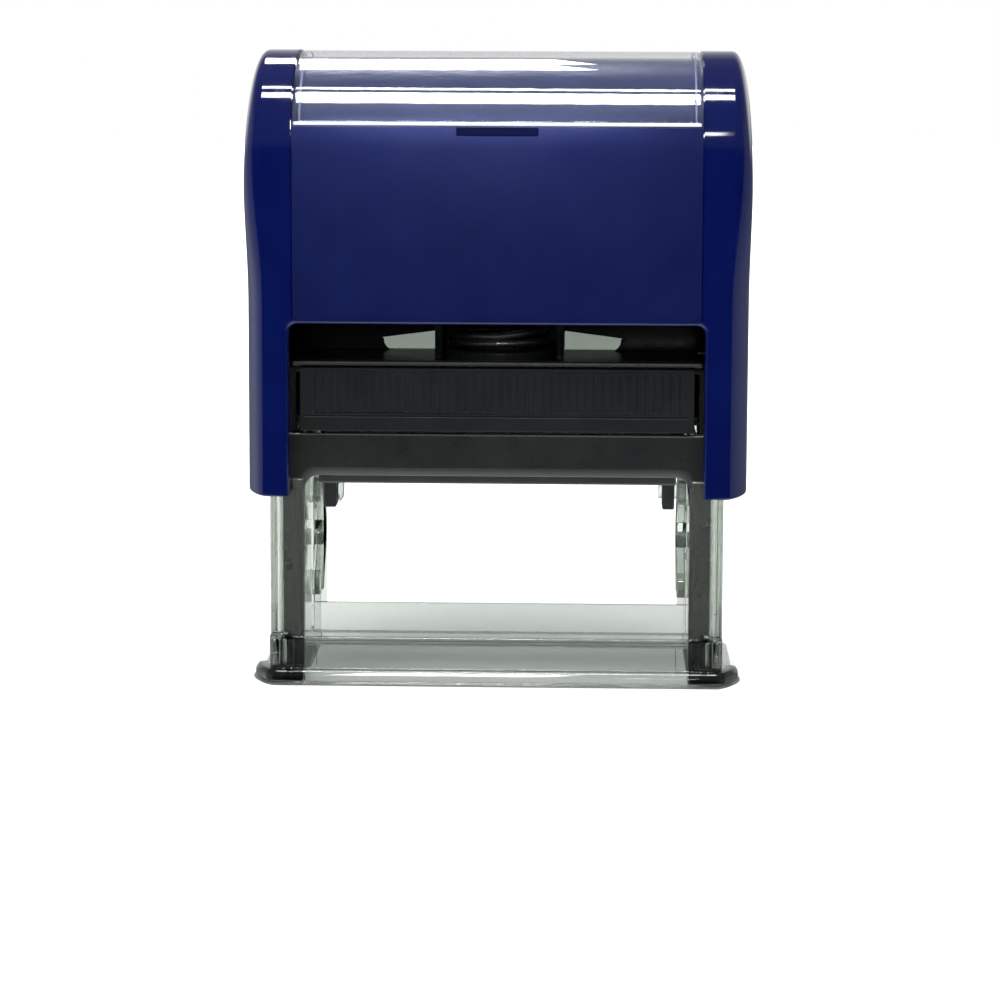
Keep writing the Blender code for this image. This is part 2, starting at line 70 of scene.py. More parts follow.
def new_object(name, bm):
    """A mesh object in metres from a bmesh drawn in millimetres."""
    bmesh.ops.recalc_face_normals(bm, faces=bm.faces[:])
    bmesh.ops.transform(bm, matrix=Matrix.Scale(MM, 4), verts=bm.verts[:])
    mesh = bpy.data.meshes.new(name)
    bm.to_mesh(mesh)
    bm.free()
    obj = bpy.data.objects.new(name, mesh)
    bpy.context.scene.collection.objects.link(obj)
    return obj


def loft(name, rings):
    """A solid through rings of points that all have the same count, closed by a face at each end."""
    bm = bmesh.new()
    rows = [[bm.verts.new(point) for point in ring] for ring in rings]
    count = len(rows[0])
    for near, far in zip(rows, rows[1:]):
        for i in range(count):
            j = (i + 1) % count
            bm.faces.new((near[i], near[j], far[j], far[i]))
    bm.faces.new(rows[0])
    bm.faces.new(rows[-1])
    return new_object(name, bm)


def along(axis, outline, level):
    """A flat outline as points in space, at one level of the axis across it."""
    if axis == "X":
        return [(level, u, v) for u, v in outline]
    if axis == "Y":
        return [(u, level, v) for u, v in outline]
    return [(u, v, level) for u, v in outline]


def prism(name, axis, outline, low, high):
    """A flat outline drawn out along an axis."""
    return loft(name, [along(axis, outline, low), along(axis, outline, high)])


def block(name, low, high):
    (x0, y0, z0), (x1, y1, z1) = low, high
    return prism(name, "Z", [(x0, y0), (x1, y0), (x1, y1), (x0, y1)], z0, z1)


def side_block(name, side, x, y, z):
    """A block given by its distances from the middle plane, on the left (-1) or the right (+1)."""
    x_low, x_high = sorted((side * x[0], side * x[1]))
    return block(name, (x_low, y[0], z[0]), (x_high, y[1], z[1]))


def side_prism(name, side, outline, x):
    """An outline drawn out along X between two distances from the middle plane."""
    return prism(name, "X", outline, *sorted((side * x[0], side * x[1])))


def on_side(side, outline):
    """A flat outline drawn for the right side, as it is on the given side."""
    return [(side * u, v) for u, v in outline]


def arc(centre, radii, start, end, steps):
    """Points on an elliptical arc, with the angles in degrees."""
    angles = [math.radians(start + (end - start) * i / steps) for i in range(steps + 1)]
    return [(centre[0] + radii[0] * math.cos(a), centre[1] + radii[1] * math.sin(a)) for a in angles]


def circle(centre, radius, sides=48):
    return arc(centre, (radius, radius), 0, 360 - 360 / sides, sides - 1)


def rounded_rectangle(half_u, half_v, radii, steps=8):
    ru, rv = radii
    points = []
    for quarter, (su, sv) in enumerate(((1, 1), (-1, 1), (-1, -1), (1, -1))):
        centre = (su * (half_u - ru), sv * (half_v - rv))
        points += arc(centre, radii, 90 * quarter, 90 * quarter + 90, steps)
    return points


def stadium(centre, half_length, radius, steps=14):
    """A slot shape, long in its second coordinate."""
    u, v = centre
    reach = half_length - radius
    return arc((u, v + reach), (radius, radius), 0, 180, steps) + arc(
        (u, v - reach), (radius, radius), 180, 360, steps
    )


def rod(name, axis, centre, radius, low, high, sides=48):
    return prism(name, axis, circle(centre, radius, sides), low, high)


def combine(target, operation, others):
    for other in others:
        modifier = target.modifiers.new(operation.lower(), "BOOLEAN")
        modifier.operation = operation
        modifier.solver = "EXACT"
        modifier.object = other
        graph = bpy.context.evaluated_depsgraph_get()
        result = bpy.data.meshes.new_from_object(target.evaluated_get(graph))
        target.modifiers.clear()
        target.data = result
        result.name = target.name
        bpy.data.objects.remove(other)
    return target


def cut(target, *cutters):
    return combine(target, "DIFFERENCE", cutters)


def join(target, *others):
    return combine(target, "UNION", others)


def merge_flats(obj, limit=0.4):
    """Turn coplanar facets into single faces, so that bevels run clean."""
    bm = bmesh.new()
    bm.from_mesh(obj.data)
    bmesh.ops.remove_doubles(bm, verts=bm.verts[:], dist=0.002 * MM)
    bmesh.ops.dissolve_limit(bm, angle_limit=math.radians(limit), verts=bm.verts[:], edges=bm.edges[:])
    bm.to_mesh(obj.data)
    bm.free()
    return obj


def split_across(obj, levels):
    """Cut the faces along planes square to X, so that each part can have its own material."""
    bm = bmesh.new()
    bm.from_mesh(obj.data)
    for level in levels:
        everything = bm.verts[:] + bm.edges[:] + bm.faces[:]
        bmesh.ops.bisect_plane(bm, geom=everything, plane_co=(level * MM, 0, 0), plane_no=(1, 0, 0), dist=1e-7)
    bm.to_mesh(obj.data)
    bm.free()


def weigh_edges(obj, width, angle):
    """Mark the sharp edges for the bevel, each with as much of the width as its neighbours leave room for."""
    bm = bmesh.new()
    bm.from_mesh(obj.data)
    weight = bm.edges.layers.float.get("bevel_weight_edge") or bm.edges.layers.float.new("bevel_weight_edge")
    sharp = {edge for edge in bm.edges if edge.calc_face_angle(0.0) > math.radians(angle)}
    for edge in sharp:
        room = width * MM
        for vert in edge.verts:
            away = edge.other_vert(vert).co - vert.co
            for other in vert.link_edges:
                if other is edge:
                    continue
                along_other = other.other_vert(vert).co - vert.co
                carries_on = other in sharp and away.angle(-along_other, math.pi) < math.radians(50)
                if not carries_on:
                    room = min(room, along_other.length * BEVEL_SHARE)
        edge[weight] = max(room / (width * MM), LEAST_BEVEL)
    bm.to_mesh(obj.data)
    bm.free()


def soften(obj, width, segments=2, angle=34):
    """Round the sharp edges, and keep the flats flat in the shading."""
    if width:
        weigh_edges(obj, width, angle)
        rounding = obj.modifiers.new("rounding", "BEVEL")
        rounding.width = width * MM
        rounding.segments = segments
        rounding.limit_method = "WEIGHT"
        rounding.use_clamp_overlap = False
        rounding.miter_outer = "MITER_ARC"
    obj.data.shade_smooth()
    obj.data.set_sharp_from_angle(angle=math.radians(angle))
    flats = obj.modifiers.new("flats", "WEIGHTED_NORMAL")
    flats.keep_sharp = True
    flats.weight = 80
    return obj


def copy_of(node, name):
    """The shape of a CAD node as a new mesh of its own, for a piece that only needs softer edges."""
    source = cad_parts[node]
    mesh = source.data.copy()
    mesh.name = name
    mesh.transform(source.matrix_world)
    mesh.materials.clear()
    obj = bpy.data.objects.new(name, mesh)
    bpy.context.scene.collection.objects.link(obj)
    return merge_flats(obj)


def place(obj, coats, body, node):
    """Give a piece its materials and its body, and hide the CAD node that it stands for."""
    if not isinstance(coats, (list, tuple)):
        coats = [coats]
    obj.data.materials.clear()
    for coat in coats:
        obj.data.materials.append(coat)
    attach(obj, body)
    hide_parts(node)
    return obj


def plain(node, name, width, coat, body, segments=2, angle=34):
    """A piece whose CAD shape is right, with rounded edges and a better finish."""
    return place(soften(copy_of(node, name), width, segments, angle), coat, body, node)


# ---- materials

class Nodes:
    """The nodes of a material or a world, with short calls to add and link them."""

    def __init__(self, owner):
        owner.use_nodes = True
        self.nodes, self.links = owner.node_tree.nodes, owner.node_tree.links

    def link(self, source, target):
        self.links.new(source, target)

    def fill(self, node, **inputs):
        """Set a node's inputs by name, each to a fixed value or to the output of another node."""
        for name, value in inputs.items():
            target = node.inputs[name.replace("_", " ")]
            if isinstance(value, bpy.types.NodeSocket):
                self.link(value, target)
            else:
                target.default_value = value
        return node

    def new(self, kind, **inputs):
        return self.fill(self.nodes.new("ShaderNode" + kind), **inputs)

    def mix(self, share, first, second):
        """The second shader in the given share, and the first in the rest."""
        node = self.new("MixShader", Fac=share)
        self.link(first, node.inputs[1])
        self.link(second, node.inputs[2])
        return node.outputs["Shader"]


class Tree(Nodes):
    """A material's nodes. Sizes and depths are in millimetres."""

    def __init__(self, name):
        self.material = bpy.data.materials.new(name)
        super().__init__(self.material)
        self.shader = self.nodes["Principled BSDF"]
        self.coordinates = self.new("TexCoord").outputs["Object"]

    def skin(self, **inputs):
        """Set the inputs of the main shader."""
        self.fill(self.shader, **inputs)

    def noise(self, size, detail=2.0, stretch=None, roughness=0.5):
        """Noise with grains of the given size in millimetres."""
        source = self.coordinates
        if stretch:
            source = self.new("Mapping", Scale=stretch, Vector=source).outputs["Vector"]
        node = self.new("TexNoise", Scale=1 / (size * MM), Detail=detail, Roughness=roughness, Vector=source)
        return node.outputs["Fac"]

    def cells(self, size):
        return self.new("TexVoronoi", Scale=1 / (size * MM), Vector=self.coordinates).outputs["Distance"]

    def spread(self, value, low, high, from_low=0.3, from_high=0.7):
        """A 0 to 1 value as a number between low and high."""
        node = self.new("MapRange", From_Min=from_low, From_Max=from_high, To_Min=low, To_Max=high, Value=value)
        return node.outputs["Result"]

    def wander(self, size, low, high):
        """A number that drifts between low and high over a distance in millimetres."""
        return self.spread(self.noise(size, 3.0), low, high)

    def tint(self, value, first, second):
        node = self.nodes.new("ShaderNodeMix")
        node.data_type = "RGBA"
        self.fill(node, A=(*first, 1.0), B=(*second, 1.0), Factor=value)
        return node.outputs["Result"]

    def bump(self, *layers):
        """Stacked bumps, each a height with its depth in millimetres. Returns the last normal."""
        normal = None
        for height, depth in layers:
            node = self.new("Bump", Strength=1.0, Distance=depth * MM, Height=height)
            if normal:
                self.link(normal, node.inputs["Normal"])
            normal = node.outputs["Normal"]
        return normal

    def mirror_share(self, normal, haze=0.0):
        """How much of a clear skin acts as a mirror: 4% face on, and all of it edge on, from either side."""
        slant = self.new("LayerWeight", Blend=0.5, Normal=normal)
        steep = self.nodes.new("ShaderNodeMath")
        steep.operation = "POWER"
        steep.inputs[1].default_value = 5.0
        self.link(slant.outputs["Facing"], steep.inputs[0])
        return self.spread(steep.outputs["Value"], 0.04 + haze, 1.0, 0.0, 1.0)

    def see_through(self, through, share):
        """Let the given share of the surface be the main shader, and the rest pass the light straight on."""
        mixed = self.mix(share, through.outputs["BSDF"], self.shader.outputs["BSDF"])
        self.link(mixed, self.nodes["Material Output"].inputs["Surface"])


def moulded(name, dark, light, roughness, grain, depth, specular=0.5):
    """Moulded plastic: slow drift in colour and gloss, and the fine grain of the mould."""
    tree = Tree(name)
    drift, patches = tree.noise(9.0, 3.0), tree.noise(2.2, 4.0)
    surface = tree.noise(grain, 3.0, roughness=0.6)
    tree.skin(
        Base_Color=tree.tint(tree.spread(drift, 0, 1), dark, light),
        Roughness=tree.spread(patches, *roughness),
        Normal=tree.bump((tree.noise(6.0, 1.0), 0.02), (surface, depth)),
        Specular_IOR_Level=specular,
    )
    return tree.material


def clear_plastic(name, tint, edge, power, gloss, haze, skin=(0.55, 0.6, 0.57)):
    """Thin clear plastic: the light that passes is tinted, more so where the surface is seen at a slant."""
    tree = Tree(name)
    slant = tree.new("LayerWeight", Blend=power)
    through = tree.new("BsdfTransparent", Color=tree.tint(slant.outputs["Facing"], tint, edge))
    ripple = tree.bump((tree.noise(7.0, 2.0), 0.05))
    rough = tree.wander(3.0, gloss * 0.7, gloss * 1.3)
    tree.skin(Base_Color=(*skin, 1.0), Specular_IOR_Level=1.0, Roughness=rough, Normal=ripple)
    tree.see_through(through, tree.mirror_share(ripple, haze))
    return tree.material


def clear_cover(name, tint, gloss):
    """A thin clear cover: tinted straight through, with a mirror share that grows at a slant."""
    tree = Tree(name)
    through = tree.new("BsdfTransparent", Color=(*tint, 1.0))
    ripple = tree.bump((tree.noise(16.0, 1.0), 0.03))
    rough = tree.wander(3.0, gloss * 0.7, gloss * 1.3)
    tree.skin(Base_Color=(1.0, 1.0, 1.0, 1.0), Metallic=1.0, Roughness=rough, Normal=ripple)
    tree.see_through(through, tree.mirror_share(ripple))
    return tree.material


def glass_plastic(name, tint, roughness):
    """Clear plastic that bends what is seen through it."""
    tree = Tree(name)
    tree.skin(
        Base_Color=(*tint, 1.0),
        Transmission_Weight=1.0,
        IOR=1.47,
        Roughness=tree.wander(3.0, 0.0, roughness),
        Normal=tree.bump((tree.noise(12.0, 1.0), 0.015)),
    )
    return tree.material


def make_metal(name, colour, roughness, stretch):
    """Drawn metal, with its scratches stretched along one axis."""
    tree = Tree(name)
    drawn = tree.noise(0.25, 3.0, stretch)
    tree.skin(
        Base_Color=tree.tint(drawn, colour, [c * 0.7 for c in colour]),
        Roughness=tree.spread(drawn, roughness * 0.7, roughness * 1.3),
        Normal=tree.bump((drawn, 0.012)),
        Metallic=1.0,
    )
    return tree.material


def make_felt():
    """Needled felt full of ink: matted fibres, with wet patches."""
    tree = Tree("inked felt")
    fibres = tree.noise(0.22, 6.0, (1.0, 3.2, 1.0), 0.7)
    wet = tree.noise(3.5, 3.0)
    tree.skin(
        Base_Color=tree.tint(fibres, (0.002, 0.006, 0.06), (0.008, 0.025, 0.2)),
        Roughness=tree.spread(wet, 0.45, 0.95),
        Normal=tree.bump((tree.noise(1.4, 3.0), 0.1), (fibres, 0.16)),
        Sheen_Weight=0.25,
    )
    return tree.material


def make_foam():
    """Fine open-cell foam."""
    tree = Tree("foam")
    pores = tree.cells(0.55)
    tree.skin(
        Base_Color=tree.tint(pores, (0.34, 0.34, 0.32), (0.72, 0.72, 0.69)),
        Normal=tree.bump((tree.cells(1.1), 0.08), (pores, 0.14)),
        Roughness=0.95,
    )
    return tree.material


def make_rubber():
    """Die rubber with an inked skin on part of it."""
    tree = Tree("die rubber")
    ink = tree.noise(2.6, 4.0)
    tree.skin(
        Base_Color=tree.tint(tree.spread(ink, 0, 1, 0.45, 0.6), (0.10, 0.10, 0.115), (0.02, 0.03, 0.12)),
        Roughness=tree.spread(ink, 0.75, 0.45),
        Normal=tree.bump((tree.noise(0.12, 3.0), 0.02)),
    )
    return tree.material


# Each moulded plastic: its name, its darker and lighter colour, its range of roughness, the size and depth of the
# grain in millimetres, and how strongly it mirrors.
blue_gloss = moulded("blue plastic", (0.0009, 0.0032, 0.042), (0.0013, 0.0042, 0.05), (0.05, 0.09), 0.35, 0.0006)
blue_matt = moulded(
    "blue textured plastic", (0.0005, 0.003, 0.038), (0.001, 0.0045, 0.045), (0.42, 0.5), 0.2, 0.022, 0.05
)
# painted reflection: the window seat's blue is lighter, standing in for the haze that the clear window over it reflects
blue_seat_painted_reflection = moulded("window seat painted with reflection", (0.014, 0.022, 0.08), (0.018, 0.028, 0.092), (0.3, 0.42), 0.3, 0.004, 0.12)
# painted shade: a darker blue for the inside of the release slot
blue_slot_painted_shade = moulded(
    "blue slot with painted shade", (0.0006, 0.0025, 0.024), (0.0009, 0.0035, 0.032), (0.5, 0.6), 0.3, 0.004, 0.01
)
black_satin = moulded("black plastic", (0.0075, 0.009, 0.0095), (0.012, 0.0135, 0.0135), (0.265, 0.315), 0.22, 0.005)
# painted light: lighter than black_satin, to make up for the shade that the die plate sits in
black_plate_painted_light = moulded("die plate plastic painted lighter", (0.028, 0.033, 0.034), (0.037, 0.042, 0.043), (0.3, 0.42), 0.22, 0.006)
black_gloss = moulded("glossy black plastic", (0.006, 0.0075, 0.0075), (0.01, 0.011, 0.011), (0.12, 0.2), 0.3, 0.002)
# painted reflection: lighter than black_satin, standing in for the bright floor that the chamfer mirrors
black_polished_painted_sheen = moulded(
    "polished black plastic with painted sheen", (0.02, 0.024, 0.023), (0.026, 0.031, 0.029), (0.1, 0.16), 0.3, 0.002
)
black_tray = moulded(
    "tray plastic", (0.0045, 0.0055, 0.0065), (0.0075, 0.0085, 0.0095), (0.42, 0.55), 0.15, 0.008, 0.3
)
smoked = glass_plastic("smoked clear plastic", (0.55, 0.59, 0.55), 0.02)
# painted shade: the front wall's darker tint stands in for the shade on the floor inside the base
smoked_wall_painted_shade = glass_plastic("smoked plastic with painted shade", (0.45, 0.485, 0.45), 0.02)
smoked_deep = glass_plastic("deep smoked plastic", (0.16, 0.18, 0.165), 0.03)
# painted shade: the foot's noses are tinted nearly black for the dark surroundings that they bend and mirror
smoked_nose_painted_shade = glass_plastic("foot nose plastic with painted shade", (0.055, 0.063, 0.057), 0.03)
# painted highlight: an opaque pale blue for the bright line along the window's bottom edge
clear_line_painted_highlight = moulded("window edge with painted highlight", (0.55, 0.58, 0.7), (0.62, 0.65, 0.76), (0.2, 0.3), 0.3, 0.004, 0.5)
# painted highlight: a pale, partly opaque skin for the light lines along the window's rim and bead
clear_edge_painted_haze = clear_plastic(
    "clear edge with painted haze", (0.8, 0.82, 0.9), (0.5, 0.53, 0.62), 0.4, 0.12, 0.36, (0.24, 0.26, 0.38)
)
clear = clear_cover("clear plastic", (0.95, 0.96, 0.97), 0.04)
pin_clear = clear_plastic("clear pin plastic", (0.86, 0.88, 0.86), (0.35, 0.38, 0.36), 0.4, 0.06, 0.12)
pane = clear_plastic("smoked pane", (0.35, 0.376, 0.35), (0.2, 0.22, 0.2), 0.3, 0.08, 0.0)
spring_steel = make_metal("spring steel", (0.72, 0.74, 0.73), 0.3, (1, 1, 6))
pin_steel = make_metal("pin steel", (0.36, 0.37, 0.38), 0.3, (5, 1, 1))
felt, foam, rubber = make_felt(), make_foam(), make_rubber()


# ---- cap

cap_low, cap_high = span("cap_shell")
window_low, window_high = span("index_window")
button_low, button_high = span("right_lock_button")
CAP_WALL = 1.9
CAP_ROOF = 2.9
CAVITY_STRAIGHT = 37.0  # half width of the cavity's even part; its ends narrow to CAP_SIDE_INNER
CAP_SIDE_INNER = 39.2
ARCH_RISE = 16.0
ARCH_POWER = 2.2
CORNER_WIDTH = 3.35
SHOULDER_DROP = 20.0
SHOULDER_POWER = 2.6
CORNER_DEPTHS = (9.0, 4.6)  # below and above the waist
CORNER_POWERS = (1.45, 2.0)  # nearly a flat facet below the waist, an ellipse above it
CAP_SPARE = 0.12
WAIST = (64.0, 85.0)
WAIST_INSET = 0.2
FOOT_RADIUS = 0.5
OPENING = (34.2, 60.4, 1.4)  # half width, top, corner radius
OPENING_FILLET = 0.95
PANEL_HALF_WIDTH = 33.5
PANEL_DEPTH = 0.14
SEAM_WIDTH = 0.22
RELEASE_SLOT = (6.7, 91.2, 92.6)
SLOT_DEPTH = 1.0
BUTTON_HOLE = (37.0, 45.0)
ROOF_RIBS = (12.0, 26.0)
ROOF_RIB_THICKNESS = 1.2
ROOF_RIB_SPAN = (100.8, 102.3)
WINDOW_RIM = (window_high.x - 1.0, window_high.x - 0.72)
GAP = 0.3
SLACK = 0.02  # allowed when a face is told by where it is


def smooth_step(value):
    value = min(max(value, 0.0), 1.0)
    return value * value * (3 - 2 * value)


def arch_profile(half_depth, top, rise, bottom, steps=40):
    """Front foot, up and over the roof to the rear foot, as (y, z) points."""
    points = [(-half_depth, bottom)]
    for i in range(steps + 1):
        angle = math.pi * i / steps
        across = math.copysign(abs(math.cos(angle)) ** (2 / ARCH_POWER), math.cos(angle))
        up = abs(math.sin(angle)) ** (2 / ARCH_POWER)
        points.append((-half_depth * across, top - rise + rise * up))
    points.append((half_depth, bottom))
    return points


def cap_point(share, turn, y_share, z):
    """A point of the cap's skin. turn runs round the corner, and the waist narrows the cap below it."""
    above = smooth_step((z - WAIST[0]) / (WAIST[1] - WAIST[0]))
    depth_lost = CORNER_DEPTHS[0] + (CORNER_DEPTHS[1] - CORNER_DEPTHS[0]) * above
    power = 2 / (CORNER_POWERS[0] + (CORNER_POWERS[1] - CORNER_POWERS[0]) * above)
    reach = min((z - cap_low.z) / FOOT_RADIUS, 1.0)
    tuck = FOOT_RADIUS * (1 - math.sqrt(max(1 - (1 - reach) ** 2, 0.0)))
    width = cap_high.x + CAP_SPARE - WAIST_INSET * (1 - above) - tuck
    start = width - CORNER_WIDTH
    x = share * start if turn is None else start + CORNER_WIDTH * math.sin(turn) ** power
    lost = 0.0 if turn is None else depth_lost * (1 - max(math.cos(turn), 0.0) ** power)
    return (x, y_share * (cap_high.y - lost - tuck), z)


def cap_skin():
    """The cap's outside as a closed solid with its roof, waist, rounded corners and rounded foot."""
    corner_steps = 18
    stations = [(i / 5, None) for i in range(6)]
    for i in range(1, corner_steps + 1):
        stations.append((1.0, math.pi / 2 * math.sin(math.pi / 2 * i / corner_steps)))
    rows = []
    for share, turn in stations:
        drop = 0.0 if turn is None else 1 - (1 - math.sin(turn) ** SHOULDER_POWER) ** (1 / SHOULDER_POWER)
        top = cap_high.z - SHOULDER_DROP * drop
        rise = ARCH_RISE * (1 - CORNER_DEPTHS[0] / cap_high.y * drop)
        start = top - rise
        heights = [cap_low.z + FOOT_RADIUS * (1 - math.cos(math.pi / 2 * k / 5)) for k in range(6)]
        wall = [cap_low.z + FOOT_RADIUS + (start - cap_low.z - FOOT_RADIUS) * k / 16 for k in range(1, 16)]
        front = [cap_point(share, turn, -1.0, z) for z in heights + wall]
        roof = [cap_point(share, turn, y, z) for y, z in arch_profile(1.0, top, rise, 0.0)[1:-1]]
        rear = [(x, -y, z) for x, y, z in reversed(front)]
        rows.append(front + roof + rear)
    rows = [[(-x, y, z) for x, y, z in row] for row in reversed(rows[1:])] + rows
    bm = bmesh.new()
    grid = [[bm.verts.new(point) for point in row] for row in rows]
    count = len(rows[0])
    for near, far in zip(grid, grid[1:]):
        for i in range(count - 1):
            bm.faces.new((near[i], near[i + 1], far[i + 1], far[i]))
        bm.faces.new((near[-1], near[0], far[0], far[-1]))
    for end in (grid[0], grid[-1]):
        for i in range(count // 2):
            if i + 1 == count - 2 - i:
                bm.faces.new((end[i], end[i + 1], end[-i - 1]))
            else:
                bm.faces.new((end[i], end[i + 1], end[-i - 2], end[-i - 1]))
    return new_object("cap_body", bm)


def opening_outline(grown):
    half, top, radius = OPENING
    reach, crown = half - radius, top - radius
    radii = (radius + grown, radius + grown)
    low = cap_low.z - 5
    outline = [(-half - grown, low), (half + grown, low)]
    return outline + arc((reach, crown), radii, 0, 90, 8) + arc((-reach, crown), radii, 90, 180, 8)


def arch_strip(name, half_width, outer_offset, inner_offset, bottom, x_low=None):
    """A strip of the roof's arch between two offsets below the cap's skin, cut off flat at bottom."""
    outer = arch_profile(cap_high.y - outer_offset, cap_high.z - outer_offset, ARCH_RISE, bottom - 5)
    inner = arch_profile(cap_high.y - inner_offset, cap_high.z - inner_offset, ARCH_RISE, bottom - 5)
    strip = prism(name, "X", outer + inner[::-1], -half_width if x_low is None else x_low, half_width)
    depth = cap_high.y + 8
    return cut(strip, block("trim", (-60, -depth, bottom - 20), (60, depth, bottom)))


def make_cap():
    cap = cap_skin()
    inner_depth = cap_high.y - CAP_WALL
    roof = arch_profile(inner_depth, cap_high.z - CAP_ROOF, ARCH_RISE - 1, cap_low.z - 10)
    end = arch_profile(inner_depth - 0.6, cap_high.z - 9, ARCH_RISE - 3, cap_low.z - 10)
    stations = ((-CAP_SIDE_INNER, end), (-CAVITY_STRAIGHT, roof), (CAVITY_STRAIGHT, roof), (CAP_SIDE_INNER, end))
    cut(cap, loft("cavity", [along("X", profile, x) for x, profile in stations]))

    skin, steps = cap_high.y, 6
    rings = [(-skin - 6, OPENING_FILLET), (-skin, OPENING_FILLET)]
    for k in range(1, steps + 1):
        turn = math.pi / 2 * k / steps
        rings.append((-skin + OPENING_FILLET * (1 - math.cos(turn)), OPENING_FILLET * (1 - math.sin(turn))))
    rings += [(-y, grown) for y, grown in reversed(rings)]
    cut(cap, loft("opening", [along("Y", opening_outline(grown), y) for y, grown in rings]))

    floor = OPENING[1] + OPENING_FILLET
    cut(cap, arch_strip("panel", PANEL_HALF_WIDTH, -3, PANEL_DEPTH, floor))
    for side in SIDES:
        seam = sorted((side * PANEL_HALF_WIDTH, side * (PANEL_HALF_WIDTH + SEAM_WIDTH)))
        cut(cap, arch_strip("seam", seam[1], -3, PANEL_DEPTH + 0.22, floor, seam[0]))
    seat = window_high.x + GAP
    cut(cap, arch_strip("window_seat", seat, -3, 1.5, window_low.z - GAP))
    half, low, high = RELEASE_SLOT
    cut(cap, block("release_slot", (-half, -skin - 2, low), (half, -skin + SLOT_DEPTH, high)))
    middle = (button_low.z + button_high.z) / 2
    length = (button_high.z - button_low.z) / 2 + GAP
    radius = button_high.y + GAP
    for side in SIDES:
        cut(cap, side_prism("button_hole", side, stadium((0, middle), length, radius), BUTTON_HOLE))
        for x in ROOF_RIBS:
            join(cap, side_block("roof_rib", side, (x, x + ROOF_RIB_THICKNESS), (-7, 7), ROOF_RIB_SPAN))
    merge_flats(cap, 0.1)
    soften(cap, 0.0, angle=38)
    return cap


def paint_cap(cap):
    """Matt on the panels between the seams, a seat under the window painted paler as a painted reflection of the clear
    window over it, painted shade inside the release slot, and gloss elsewhere.
    """
    inner = cap_high.y - CAP_WALL + 0.4
    seat_half = window_high.x + GAP - 0.05
    half, low, high = RELEASE_SLOT
    for face in cap.data.polygons:
        centre, normal = face.center / MM, face.normal
        outward = Vector((0, centre.y, max(centre.z - 89, 0))).dot(normal) > 0
        on_panel = abs(centre.x) < PANEL_HALF_WIDTH + SLACK and abs(normal.x) < 0.4 and outward
        shell = abs(centre.y) > inner or centre.z > 90
        face.material_index = 1 if on_panel and shell and centre.z > OPENING[1] + 0.5 else 0
        # painted reflection: the seat under the window gets the paler blue
        if on_panel and abs(centre.x) < seat_half and centre.z > window_low.z - GAP + 0.05:
            face.material_index = 2
        # painted shade: the floor and walls of the release slot get the darker blue
        in_slot = abs(centre.x) < half + SLACK and low - SLACK < centre.z < high + SLACK and centre.y < 0
        bottom = abs(centre.y + cap_high.y - SLOT_DEPTH) < SLACK
        if in_slot and (bottom or max(abs(normal.x), abs(normal.z)) > 0.95):
            face.material_index = 3


cap_body = place(make_cap(), (blue_gloss, blue_matt, blue_seat_painted_reflection, blue_slot_painted_shade), "cap", "cap_shell")
paint_cap(cap_body)


def make_window():
    """The curved window, with a pocket on its underside that leaves a rim round it."""
    window = arch_strip("index_window_clear", window_high.x, 0.15, 1.2, window_low.z)
    cut(window, arch_strip("pocket", window_high.x - 0.95, 0.75, 3.0, window_low.z + 1.0))
    half, bottom = window_high.x, window_low.z
    for face in SIDES:
        near, far = sorted((face * (cap_high.y - 0.9), face * (cap_high.y + 0.07)))
        join(window, block("bead", (-half, near, bottom), (half, far, bottom + 0.6)))
    merge_flats(window, 0.1)
    split_across(window, (-WINDOW_RIM[1], -WINDOW_RIM[0], *WINDOW_RIM))
    return soften(window, 0.16, 2, 50)


def paint_window(window):
    """A painted highlight along the bottom edges, and painted haze round the rim and low on the window."""
    for face in window.data.polygons:
        centre = face.center / MM
        height = centre.z - window_low.z
        line = WINDOW_RIM[0] < abs(centre.x) < WINDOW_RIM[1]
        # painted highlight on the bead's bottom faces; painted haze on the rim line and low on the window
        bright = 0.05 < height < 0.55 and abs(face.normal.y) > 0.9
        face.material_index = 2 if bright else 1 if line or height < 0.7 else 0


window = place(make_window(), (clear, clear_edge_painted_haze, clear_line_painted_highlight), "window", "index_window")
paint_window(window)
window.visible_shadow = False


# ---- clear base

base_high = span("base_skirt")[1]
FOOT_HEIGHT = 2.5
FOOT_CORNER = (4.0, 7.5)
FOOT_CORNER_POWER = 1.45
FOOT_PROFILE = (  # height and inset: a thin lip at the floor, an upright face, a slope and a rounding
    (0.0, 0.14), (0.1, 0.0), (0.42, 0.0), (0.52, 0.1), (0.6, 0.34), (1.45, 0.32),
    (1.66, 0.37), (1.78, 0.43), (2.29, 0.75), (2.42, 0.98), (2.48, 1.5), (2.5, 2.2),
)
LEDGE_HALF_WIDTH = 39.8
LEDGE_SPAN = (-11.0, 17.2)
SKIRT_HALF_DEPTH = 17.7
SKIRT_TOP = 7.8
WALL = 1.2
INNER_DEPTH = SKIRT_HALF_DEPTH - WALL
COLUMN = (32.1, 37.7)
COLUMN_FRONT = -16.4
COLUMN_BACK = 16.6
LEG_POCKET_OUTER = 35.9
SKIN_FRONT = -17.1
SOCKET_TOP = 8.4
SOCKET_SPAN = (-17.75, -17.0)
PILLARS = ((34.2, 0.45), (35.5, 0.55), (36.9, 0.7))  # distance from the middle and radius
PILLAR_FRONT = -18.3
AXLE_Z = 36.6
STROKE = 28.1
CAM_ARM = 6.0
CAM_STEPS = 40
CAM_RIM = ((30.4, COLUMN[0] + 0.5), 3.2)  # how far it reaches along X, and half its width
CAM_GROOVE = ((29.4, COLUMN[0] + 0.1), 1.75)
AXLE_SLOT_HALF = (2.3, 2.6)  # half its depth along Y, and its room past the axle's ends of travel


